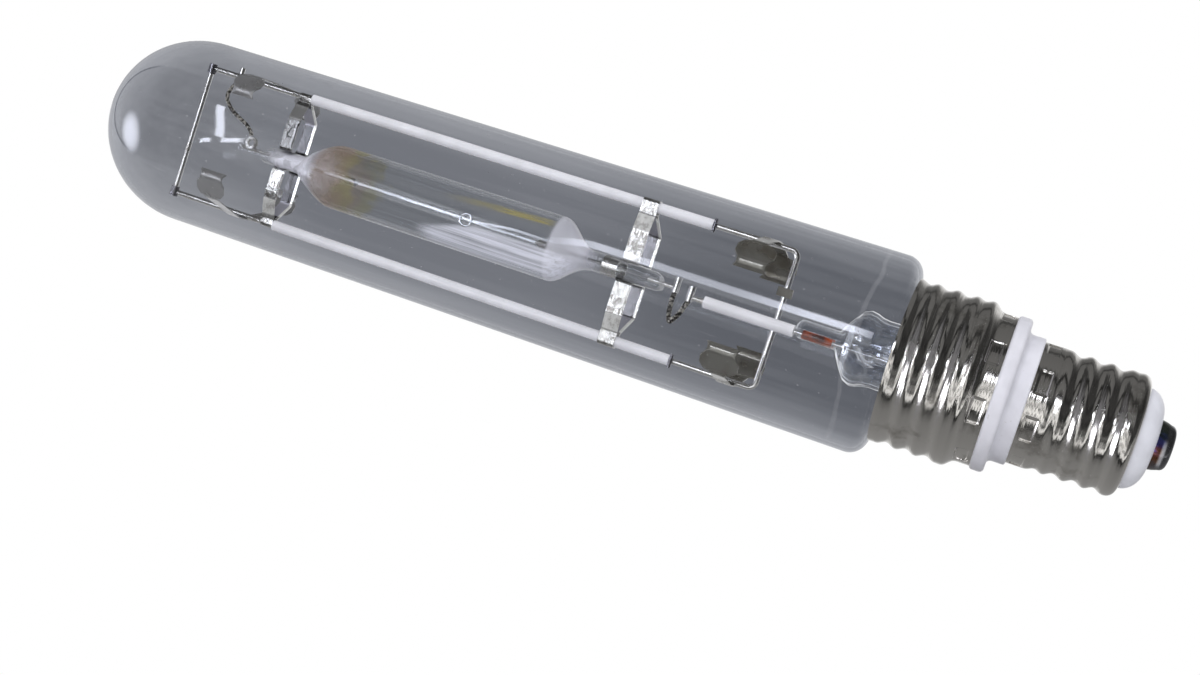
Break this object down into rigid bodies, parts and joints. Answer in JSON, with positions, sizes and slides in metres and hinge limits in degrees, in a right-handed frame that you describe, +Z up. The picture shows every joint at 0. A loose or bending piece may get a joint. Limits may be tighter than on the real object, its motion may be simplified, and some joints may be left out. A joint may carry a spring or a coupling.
{
  "type": "tubular light bulb",
  "caption": "Long clear tubular discharge lamp: quartz burner clamped in a wire frame with ceramic sleeves, round dome, skirted screw cap with a stepped ceramic ring.",
  "frame": {"origin": "centre of the flat tip of the centre contact, on the lamp's axis", "axes": "+X along the lamp, out of the cap, with the glass dome at negative X; +Z up in the plane of the wire frame; the feed conductor runs on the -Y side"},
  "size_m": [0.3806, 0.066, 0.066],
  "materials": {
    "clear_glass": "clear, glossy",
    "quartz": "clear, stained at its ends",
    "ceramic": "glazed white ceramic",
    "plated_shell": "nickel plated",
    "frame_steel": "bright drawn wire",
    "spring_steel": "heat-tinted strip",
    "dark_contact": "dark blued metal",
    "insulator": "pressed glass and ceramic",
    "braid": "braided wire",
    "seal": "red-brown sealing glass",
    "tungsten": "grey metal"
  },
  "bodies": {
    "root": {"outer_bulb": "clear_glass", "glass_stem": "clear_glass", "stem_lead_feed": "frame_steel", "stem_lead_frame": "frame_steel", "stem_seal_feed": "seal", "stem_seal_frame": "seal", "frame_rod": "frame_steel", "cross_rod": "frame_steel", "cross_collar_upper": "frame_steel", "cross_collar_lower": "frame_steel", "frame_sleeve_upper": "ceramic", "frame_sleeve_lower": "ceramic", "sleeve_stop_upper": "frame_steel", "sleeve_stop_lower": "frame_steel", "feed_sleeve": "ceramic", "feed_rod": "frame_steel", "strap_dome_upper": "frame_steel", "strap_dome_lower": "frame_steel", "strap_base_upper": "frame_steel", "strap_base_lower": "frame_steel", "spring_dome_upper": "spring_steel", "spring_dome_lower": "spring_steel", "spring_base_upper": "spring_steel", "spring_base_lower": "spring_steel", "arc_tube": "quartz", "burner_band": "frame_steel", "electrode_dome": "tungsten", "electrode_base": "tungsten", "foil_dome": "tungsten", "foil_base": "tungsten", "burner_lead_dome": "frame_steel", "burner_lead_base": "frame_steel", "burner_ferrule": "frame_steel", "feed_ferrule": "frame_steel", "braid_base": "braid", "braid_dome": "braid", "weld_post": "frame_steel", "getter": "tungsten", "cap_skirt": "plated_shell", "cap_ring": "ceramic", "screw_shell": "plated_shell", "cap_insulator": "insulator", "centre_contact": "dark_contact", "contact_wire": "frame_steel", "shell_wire": "frame_steel"}
  },
  "joints": []
}
